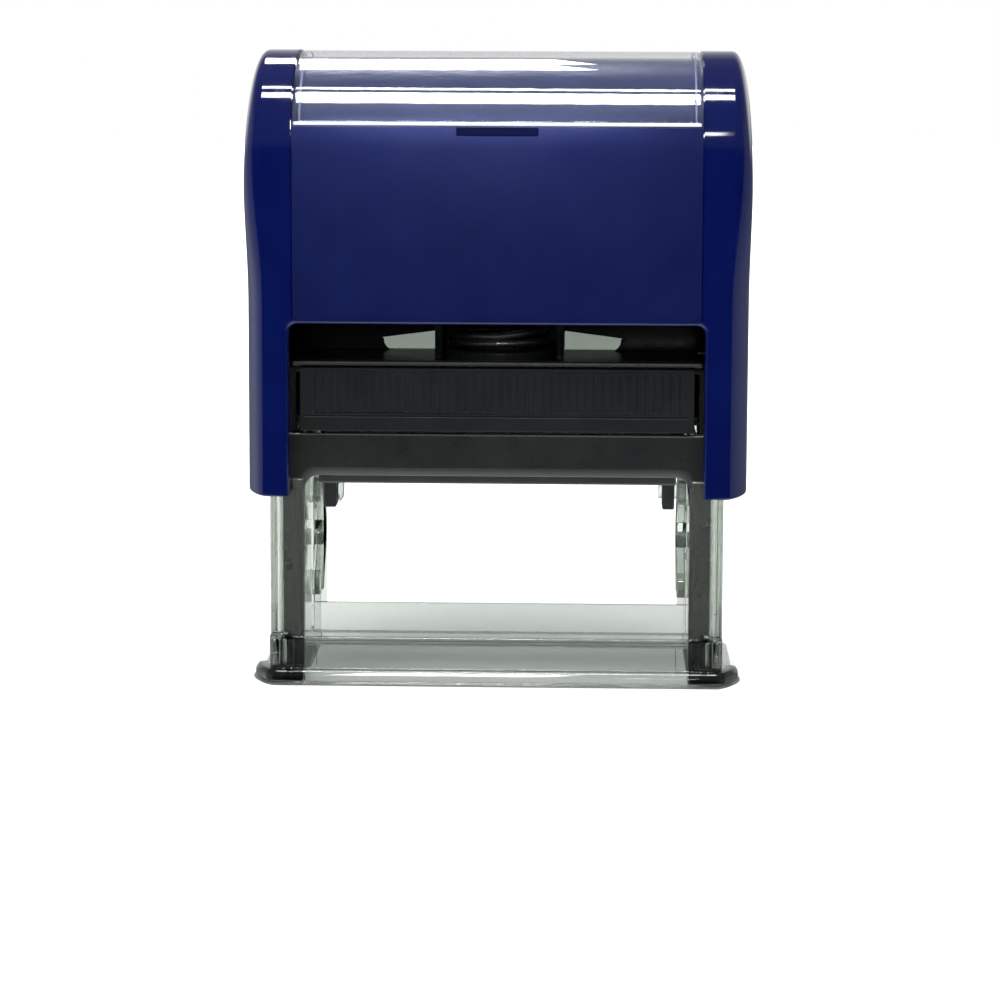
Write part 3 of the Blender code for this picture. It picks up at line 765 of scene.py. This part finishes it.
def cam_path():
    """Where the cam pin travels in the base: the axle goes down evenly as the die turns half a turn."""
    points = []
    for i in range(CAM_STEPS + 1):
        turn = math.pi * i / CAM_STEPS
        axle = AXLE_Z - STROKE * i / CAM_STEPS
        points.append((CAM_ARM * math.sin(turn), axle - CAM_ARM * math.cos(turn)))
    return points


def crossing(a, b, c, d):
    """Where segment ab crosses segment cd, or None."""
    run, other = (b[0] - a[0], b[1] - a[1]), (d[0] - c[0], d[1] - c[1])
    area = run[0] * other[1] - run[1] * other[0]
    if abs(area) < 1e-12:
        return None
    gap = (c[0] - a[0], c[1] - a[1])
    t = (gap[0] * other[1] - gap[1] * other[0]) / area
    u = (gap[0] * run[1] - gap[1] * run[0]) / area
    if 0 <= t <= 1 and 0 <= u <= 1:
        return (a[0] + t * run[0], a[1] + t * run[1])
    return None


def untangled(line):
    """A line without the small loops that an offset makes inside a tight bend."""
    points, i = list(line), 0
    while i < len(points) - 3:
        for j in range(len(points) - 2, i + 1, -1):
            spot = crossing(points[i], points[i + 1], points[j], points[j + 1])
            if spot:
                points = points[: i + 1] + [spot] + points[j + 1 :]
                break
        i += 1
    return points


def stroke(path, half_width, end_steps=10):
    """The outline of a round-ended band of even width along a path."""
    last = len(path) - 1

    def heading(i):
        a, b = path[max(i - 1, 0)], path[min(i + 1, last)]
        return math.atan2(b[1] - a[1], b[0] - a[0])

    def offset(i, angle):
        return (path[i][0] + half_width * math.cos(angle), path[i][1] + half_width * math.sin(angle))

    quarter = math.pi / 2
    outline = untangled([offset(i, heading(i) - quarter) for i in range(last + 1)])
    outline += [offset(last, heading(last) - quarter + math.pi * k / end_steps) for k in range(1, end_steps)]
    outline += untangled([offset(i, heading(i) + quarter) for i in range(last, -1, -1)])
    outline += [offset(0, heading(0) + quarter + math.pi * k / end_steps) for k in range(1, end_steps)]
    return outline


def foot_outline(inset):
    """The foot from above: its corners are cut off nearly straight."""
    half_x, half_y = base_high.x - inset, base_high.y - inset
    wide, deep = FOOT_CORNER[0] - inset * 0.5, FOOT_CORNER[1] - inset * 0.5
    points = []
    for quarter, (su, sv) in enumerate(((1, 1), (-1, 1), (-1, -1), (1, -1))):
        corner = []
        for k in range(11):
            turn = math.pi / 2 * k / 10
            u = max(math.cos(turn), 0.0) ** FOOT_CORNER_POWER
            v = math.sin(turn) ** FOOT_CORNER_POWER
            corner.append((su * (half_x - wide * (1 - u)), sv * (half_y - deep * (1 - v))))
        points += corner if quarter % 2 == 0 else corner[::-1]
    return points


def make_base():
    base = loft("base_clear", [along("Z", foot_outline(inset), z) for z, inset in FOOT_PROFILE])
    near, far = COLUMN[1] + 0.2, base_high.x + 4
    ledge = [(near, 1.2), (LEDGE_HALF_WIDTH, 1.2), (LEDGE_HALF_WIDTH, -1), (far, -1), (far, 5), (near, 5)]
    for side in SIDES:
        cut(base, prism("ledge", "Y", on_side(side, ledge), *LEDGE_SPAN))
    depth = SKIRT_HALF_DEPTH
    join(base, block("skirt", (-COLUMN[1], -depth, 1.0), (COLUMN[1], depth, SKIRT_TOP)))
    for side in SIDES:
        join(base, side_block("column", side, (31.0, COLUMN[1]), (COLUMN_FRONT, COLUMN_BACK), (1.2, base_high.z)))
    cut(base, block("window", (-COLUMN[0], -INNER_DEPTH, -5), (COLUMN[0], INNER_DEPTH, 50)))
    path = cam_path()
    hollow_x = (COLUMN[0] + WALL, COLUMN[1] - WALL)
    skin_z = (SKIRT_TOP - 0.5, base_high.z - 7.2)
    socket_x = COLUMN[1] + 0.08
    socket = [(33.6, 2.0), (socket_x, 2.0), (socket_x, SOCKET_TOP - 0.4), (COLUMN[1] - 0.4, SOCKET_TOP)]
    socket += arc((35.0, SOCKET_TOP - 1.4), (1.4, 1.4), 90, 180, 6)
    room_y, room_z = AXLE_SLOT_HALF
    slot_z = (AXLE_Z - STROKE - room_z, AXLE_Z + room_z)
    for side in SIDES:
        cut(base, side_block("hollow", side, hollow_x, (-13.4, COLUMN_BACK - WALL), (3.0, 50)))
        cut(base, side_block("leg_pocket", side, (30.0, LEG_POCKET_OUTER), (-16.6, -14.6), (FOOT_HEIGHT, 50)))
        join(base, side_block("front_skin", side, COLUMN, (SKIN_FRONT, COLUMN_FRONT + SLACK), skin_z))
        join(base, prism("socket", "Y", on_side(side, socket), *SOCKET_SPAN))
        for x, radius in PILLARS:
            join(base, rod("pillar", "Z", (side * x, PILLAR_FRONT + radius), radius, 2.0, SOCKET_TOP - 0.9, 24))
        join(base, side_prism("cam_rim", side, stroke(path, CAM_RIM[1]), CAM_RIM[0]))
        cut(base, side_prism("cam_groove", side, stroke(path, CAM_GROOVE[1]), CAM_GROOVE[0]))
        cut(base, side_block("axle_slot", side, (28.0, 40.0), (-room_y, room_y), slot_z))
    merge_flats(base, 0.2)
    split_across(base, (-COLUMN[0], COLUMN[0]))
    return soften(base, 0.28, 3, 40)


def paint_base(base):
    """Deeper tints: painted shade in the noses of the foot and in the front wall, and a darker tint in the sockets."""
    for face in base.data.polygons:
        centre = face.center / MM
        nose = 0.56 < centre.z < FOOT_HEIGHT + 0.05 and abs(centre.x) > COLUMN[0] and abs(centre.y) > 10.5
        socket = centre.y < SKIN_FRONT - 0.05 and centre.z < SOCKET_TOP + 0.1 and abs(centre.x) > 33.0
        front = centre.y < 0.05 - INNER_DEPTH and abs(centre.x) < COLUMN[0]
        # painted shade in the noses (3) and in the front wall (1)
        face.material_index = 3 if nose else 2 if socket else 1 if front else 0


base_clear = place(make_base(), (smoked, smoked_wall_painted_shade, smoked_deep, smoked_nose_painted_shade), "base", "base_skirt")
base_clear.visible_shadow = False
paint_base(base_clear)


# ---- black frame

arch_low, arch_high = span("front_arch")
CHAMFER = (0.7, 1.5)
BAR = (34.8, 42.0)
GUARD_HALF_WIDTH = 10.9
GUARD_INSIDE = GUARD_HALF_WIDTH - 1.2


def make_front_arch():
    """The bar and its two legs, with a wide chamfer along the inner edge of the front face."""
    inner, corner, post = COLUMN[0], 2.5, 34.4

    def outline(wide, tall):
        u, v = inner + wide, BAR[0] + tall
        points = [(arch_high.x, arch_low.z), (arch_high.x, arch_high.z), (post, arch_high.z), (post, BAR[1])]
        points += [(-x, z) for x, z in reversed(points)]
        points += [(-u, arch_low.z)]
        points += arc((-u + corner, v - corner), (corner, corner), 180, 90, 8)
        points += arc((u - corner, v - corner), (corner, corner), 90, 0, 8)
        return points + [(u, arch_low.z)]

    front, back = arch_low.y, arch_high.y
    sections = ((front, CHAMFER), (front + 0.75, (0.0, 0.0)), (back, (0.0, 0.0)))
    arch = loft("front_frame", [along("Y", outline(*grown), y) for y, grown in sections])
    foot_x = (inner + 0.1, COLUMN[1] - 0.2)
    for side in SIDES:
        join(arch, side_block("leg_foot", side, foot_x, (front - 0.8, back), (0.45, arch_low.z + 0.1)))
    merge_flats(arch, 0.2)
    return soften(arch, 0.38, 4, 40)


def paint_chamfer(arch):
    """The chamfer keeps the polish of the tool, so it is smoother than the textured faces; its lighter colour is a
    painted reflection of the bright floor in front.
    """
    for face in arch.data.polygons:
        face.material_index = 1 if -0.97 < face.normal.y < -0.3 else 0


front_frame = place(make_front_arch(), (black_satin, black_polished_painted_sheen), "base", "front_arch")
paint_chamfer(front_frame)


def make_chamber():
    chamber = copy_of("pad_housing", "pad_chamber")
    for side in SIDES:
        join(chamber, side_block("rear_edge", side, (31.0, 32.02), (14.9, 16.3), (BAR[0], BAR[1] + 0.4)))
    return soften(merge_flats(chamber), 0.38, 4)


def make_guard():
    """Three walls round the spring, tied to a cross wall with two sight gaps along its foot."""
    low, high = span("spring_tower")
    outer, inside = GUARD_HALF_WIDTH, GUARD_INSIDE
    foot, rear = low.z - 0.3, high.y
    guard = block("spring_guard", (-outer, low.y, foot), (outer, rear, high.z))
    cut(guard, block("shaft", (-inside, low.y - 2, foot - 2), (inside, 9.8, high.z + 2)))
    cut(guard, block("rear_relief", (-inside, 11.1, foot - 2), (inside, 16.0, high.z + 2)))
    wall = block("cross_wall", (low.x, rear - 1.3, foot), (high.x, rear, 60.5))
    gap = [(10.0, 52.0), (18.4, 52.0)] + arc((18.4, 54.9), (2.3, 1.9), -90, 10, 6) + [(21.3, 55.35), (10.0, 56.8)]
    for side in SIDES:
        cut(wall, prism("sight_gap", "Y", on_side(side, gap), 10, 18))
    cut(wall, block("middle", (-inside, 10, 50), (inside, 18, 62)))
    return soften(merge_flats(join(guard, wall)), 0.22, 3)


black_pieces = [
    front_frame,
    place(make_chamber(), black_satin, "base", "pad_housing"),
    place(make_guard(), black_gloss, "base", "spring_tower"),
]
plain("spring_yoke", "spring_plate", 0.3, black_satin, "cap")


def make_sight_panes():
    """Smoked panes in the two sight gaps of the cross wall."""
    rear = span("spring_tower")[1].y
    x, y, z = (GUARD_HALF_WIDTH, 22.6), (rear - 0.2, rear + 0.4), (52.9, 57.4)
    left, right = (side_block("sight_panes", side, x, y, z) for side in SIDES)
    return soften(join(left, right), 0.1)


sight_panes = make_sight_panes()
sight_panes.data.materials.append(pane)
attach(sight_panes, "base")


# ---- spring

spring_low, spring_high = span("return_spring")


def make_spring():
    """Coil spring with closed ends, drawn from round wire."""
    wire, steps, sides = 0.6, 48, 14
    radius = spring_high.x - wire
    end_turns, active = 1.5, 7
    turns = active + 2 * end_turns
    low, high = spring_low.z + wire, spring_high.z - wire
    end_pitch = 2.1 * wire
    pitch = (high - low - 2 * end_turns * end_pitch) / active

    def height(turn):
        if turn < end_turns:
            return low + turn * end_pitch
        if turn > turns - end_turns:
            return high - (turns - turn) * end_pitch
        return low + end_turns * end_pitch + (turn - end_turns) * pitch

    rings = []
    count = int(turns * steps)
    for i in range(count + 1):
        turn = turns * i / count
        angle = 2 * math.pi * (turn + 0.25)
        outward = Vector((math.cos(angle), math.sin(angle), 0.0))
        centre = radius * outward + Vector((0, 0, height(turn)))
        ring = []
        for k in range(sides):
            around = 2 * math.pi * k / sides
            ring.append(centre + wire * (math.cos(around) * outward + Vector((0, 0, math.sin(around)))))
        rings.append(ring)
    spring = loft("coil", rings)
    spring.data.shade_smooth()
    spring.data.set_sharp_from_angle(angle=math.radians(50))
    return spring


coil = place(make_spring(), spring_steel, "base", "return_spring")
# The coil is 43.3 mm long at rest and 15.2 mm at full press.
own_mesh(coil)


# ---- ink pad

tray_low, tray_high = span("pad_tray")
GRIP_RIBS = 44
GRIP_SPAN = (45.6, 52.2)
GRIP_MARGIN = 1.5
GRIP_SECTION = ((-0.34, -0.2), (-0.34, 0.0), (-0.12, 0.17), (0.12, 0.17), (0.34, 0.0), (0.34, -0.2))
LINE_SPAN = (44.8, 45.05)


def make_tray():
    """The cassette behind its front plate: upright grip ribs over a plain foot, with a line between."""
    front, back = tray_low.y, tray_low.y + 1.4
    width = tray_high.x
    plate = block("ink_tray", (-width, front, tray_low.z), (width, back, tray_high.z))
    pitch = 2 * (width - GRIP_MARGIN) / GRIP_RIBS
    for i in range(GRIP_RIBS):
        x = -width + GRIP_MARGIN + pitch * (i + 0.5)
        cut(plate, prism("groove", "Z", [(x + u, front + v) for u, v in GRIP_SECTION], *GRIP_SPAN))
    cut(plate, block("line", (-width + 0.8, front - 1, LINE_SPAN[0]), (width - 0.8, front + 0.22, LINE_SPAN[1])))
    half = tray_high.x - 0.3
    cassette = block("cassette", (-half, back - 0.4, 45.1), (half, tray_high.y, 51.6))
    cut(cassette, block("room", (-half + 1.1, back + 1.1, 40), (half - 1.1, tray_high.y - 1.1, 50.5)))
    join(plate, cassette)
    merge_flats(plate, 0.2)
    return soften(plate, 0.14, 2, 30)


def make_pad():
    """The felt, slightly crowned below, with soft edges."""
    low, high = span("ink_pad")
    half_x, half_y = (high.x - low.x) / 2, (high.y - low.y) / 2
    rings = []
    for z, inset in ((low.z, 1.6), (low.z + 0.1, 0.8), (low.z + 0.45, 0.25), (low.z + 1.0, 0.0),
                     (high.z - 0.5, 0.0), (high.z - 0.12, 0.2), (high.z, 0.6)):
        outline = rounded_rectangle(half_x - inset, half_y - inset, (1.6, 1.6), 5)
        rings.append(along("Z", outline, z))
    return soften(loft("felt_pad", rings), 0.0, angle=70)


place(make_tray(), black_tray, "pad", "pad_tray")
place(make_pad(), felt, "pad", "ink_pad")


# ---- die

plain("die_carrier", "turning_plate", 0.3, black_plate_painted_light, "die")
plain("die_cushion", "foam_cushion", 0.35, foam, "die", 3)
plain("rubber_die", "impression_die", 0.12, rubber, "die")
for label in ("left", "right"):
    plain(label + "_axle_bracket", label + "_axle_arm", 0.12, black_satin, "cap")
    plain(label + "_axle_pin", label + "_axle_stub", 0.3, pin_steel, "cap", 3)
    plain(label + "_cam_pin", label + "_cam_follower", 0.15, pin_clear, "die")
    plain(label + "_lock_button", label + "_lock_key", 0.16, blue_gloss, label + "_button")


# ---- studio

CAMERA = (16.00996723, -545.76964552, 105.55981821)
AZIMUTH, PITCH, ROLL = 1.669, 8.012, 0.231
LENS = 115.80
CAP_TOP = Vector((0, 0, 98.0))
STRIP_REACH = 600
FLOOR_HALF = 3000


def make_camera():
    """The camera, turned by its azimuth, its pitch and its roll in degrees."""
    azimuth, pitch, roll = (math.radians(angle) for angle in (AZIMUTH, PITCH, ROLL))
    back = Vector((math.sin(azimuth) * math.cos(pitch), -math.cos(azimuth) * math.cos(pitch), math.sin(pitch)))
    right = (-back).cross(Vector((0, 0, 1))).normalized()
    up = right.cross(-back)
    turned = right * math.cos(roll) + up * math.sin(roll)
    raised = up * math.cos(roll) - right * math.sin(roll)
    camera = bpy.data.cameras.new("camera")
    camera.sensor_width = 36
    camera.lens = LENS
    camera.clip_start = 0.01
    camera.clip_end = 20
    obj = bpy.data.objects.new("camera", camera)
    obj.matrix_world = Matrix.Translation(Vector(CAMERA) * MM) @ Matrix((turned, raised, back)).transposed().to_4x4()
    bpy.context.scene.collection.objects.link(obj)
    bpy.context.scene.camera = obj


def soft_light(name, centre, aim, size, power, diffuse, glossy):
    """A rectangular soft light, seen by matt surfaces, by glossy ones, or by both."""
    light = bpy.data.lights.new(name, "AREA")
    light.shape = "RECTANGLE"
    light.size, light.size_y = (side * MM for side in size)
    light.energy = power
    obj = bpy.data.objects.new(name, light)
    obj.location = Vector(centre) * MM
    direction = Vector(aim) - Vector(centre)
    obj.rotation_mode = "QUATERNION"
    obj.rotation_quaternion = direction.to_track_quat("-Z", "Y")
    obj.visible_camera = False
    obj.visible_transmission = False
    obj.visible_diffuse = diffuse
    obj.visible_glossy = glossy
    bpy.context.scene.collection.objects.link(obj)
    return obj


def shine_only_on(light, *receivers):
    """Let a light reach the given pieces and nothing else."""
    group = bpy.data.collections.new(light.name + "_receivers")
    for receiver in receivers:
        group.objects.link(receiver)
    light.light_linking.receiver_collection = group


def mirror_light(name, centre, aim, size, radiance):
    """A light that shows only as a highlight, as bright whatever its size."""
    power = radiance * math.pi * size[0] * size[1] * MM * MM
    return soft_light(name, centre, aim, size, power, False, True)


def mirror_strip(name, direction, size, radiance):
    """A highlight from a direction as seen from the top of the cap."""
    centre = CAP_TOP + Vector(direction).normalized() * STRIP_REACH
    return mirror_light(name, centre, CAP_TOP, size, radiance)


def make_floor():
    """A white floor that glows more and more away from the object, so that it has no edge."""
    bm = bmesh.new()
    corners = ((-1, -1, 0), (1, -1, 0), (1, 1, 0), (-1, 1, 0))
    bm.faces.new([bm.verts.new(Vector(corner) * FLOOR_HALF) for corner in corners])
    floor = new_object("floor", bm)
    tree = Tree("floor")
    away = tree.nodes.new("ShaderNodeVectorMath")
    away.operation = "LENGTH"
    tree.link(tree.coordinates, away.inputs[0])
    tree.skin(
        Base_Color=tree.tint(tree.noise(400, 2), (0.93, 0.93, 0.93), (0.95, 0.95, 0.95)),
        Roughness=0.9,
        Specular_IOR_Level=0.1,
        Emission_Color=(1, 1, 1, 1),
        Emission_Strength=tree.spread(away.outputs["Value"], 0.0, 1.0, 0.15, 0.6),
    )
    floor.data.materials.append(tree.material)
    floor.visible_glossy = False


def make_world():
    """White to the eye. Glossy surfaces see a room that is dark in front and bright behind the object."""
    world = bpy.data.worlds.new("studio")
    bpy.context.scene.world = world
    tree = Nodes(world)
    tree.nodes.clear()
    output = tree.new("OutputWorld")
    direction = tree.new("TexCoord").outputs["Generated"]
    split = tree.new("SeparateXYZ", Vector=direction)
    path = tree.new("LightPath")

    def ramp(value, stops):
        """A grey level along one axis. The stops run from 0, for -1 on the axis, to 1."""
        spot = tree.new("MapRange", From_Min=-1.0, From_Max=1.0, Value=value)
        node = tree.new("ValToRGB", Fac=spot.outputs["Result"])
        elements = node.color_ramp.elements
        for element, (position, level) in zip(elements, (stops[0], stops[-1])):
            element.position, element.color = position, (level, level, level, 1)
        for position, level in stops[1:-1]:
            elements.new(position).color = (level, level, level, 1)
        return node.outputs["Color"]

    def mixed(blend, first, second):
        node = tree.nodes.new("ShaderNodeMix")
        node.data_type = "RGBA"
        node.blend_type = blend
        return tree.fill(node, Factor=1.0, A=first, B=second).outputs["Result"]

    def multiply(first, second):
        return mixed("MULTIPLY", first, second)

    def lightest(first, second):
        return mixed("LIGHTEN", first, second)

    def background(colour, strength=1.0):
        return tree.new("Background", Color=colour, Strength=strength).outputs["Background"]

    across, depth, height = (split.outputs[axis] for axis in "XYZ")
    walls = ramp(across, (
        (0.0, 0.42), (0.08, 0.44), (0.17, 0.46), (0.28, 0.24), (0.42, 0.12), (0.75, 0.15), (1.0, 0.32),
    ))
    walls = multiply(walls, ramp(depth, ((0.32, 0.0), (0.46, 1.0))))
    walls = multiply(walls, ramp(height, ((0.0, 0.4), (0.4, 1.0), (0.6, 1.0), (0.75, 0.0))))
    walls = multiply(walls, tree.new("CombineXYZ", X=0.97, Y=1.0, Z=1.14).outputs["Vector"])
    backdrop = multiply(
        ramp(depth, ((0.85, 0.0), (0.93, 1.0))), ramp(height, ((0.49, 0.0), (0.51, 1.0), (0.6, 0.7), (0.75, 0.35)))
    )
    ceiling = ramp(height, (
        (0.0, 1.7), (0.1, 1.4), (0.2, 0.6), (0.3, 0.2), (0.4, 0.0), (0.49, 0.0), (0.53, 0.15), (0.9, 0.18), (1.0, 0.24),
    ))
    room = lightest(lightest(walls, backdrop), ceiling)
    bent = ramp(height, ((0.0, 0.05), (0.2, 0.5), (0.35, 1.0), (0.56, 1.0), (0.68, 0.34), (1.0, 0.2)))
    seen = background((1.0, 1.0, 1.0, 1.0))
    seen = tree.mix(path.outputs["Is Glossy Ray"], seen, background(room))
    seen = tree.mix(path.outputs["Is Diffuse Ray"], seen, background((0.8, 0.8, 0.8, 1.0), 0.75))
    seen = tree.mix(path.outputs["Is Transmission Ray"], seen, background(bent))
    tree.link(seen, output.inputs["Surface"])


make_floor()
make_world()
soft_light("overhead", (0, -150, 900), (0, 0, 50), (900, 700), 10.0, True, False)
soft_light("key", (-350, -600, 450), (0, 0, 50), (400, 400), 3.0, True, False)
mirror_strip("top_strip_a", (-0.02, -0.37, 0.93), (270, 84), 40)
mirror_strip("top_strip_b", (-0.02, -0.165, 0.985), (270, 38), 40)
mirror_strip("rear_strip", (-0.11, 0.69, 0.72), (150, 120), 40)
shine_only_on(mirror_light("foot_strip", (-36, -385, 478), (0, -20, 2), (78, 260), 26), base_clear)
shine_only_on(mirror_light("frame_shine", (0, -330, 560), (0, -18, 48), (900, 460), 2.6), *black_pieces)
panel_glow = soft_light("panel_glow", (-4, -46, 107), (-4, -20, 92), (56, 8), 0.15, False, True)
shine_only_on(panel_glow, cap_body)
mirror_strip("front_strip", (0.075, -0.96, 0.25), (42, 40), 30)
make_camera()
bpy.context.scene.view_settings.view_transform = "Standard"
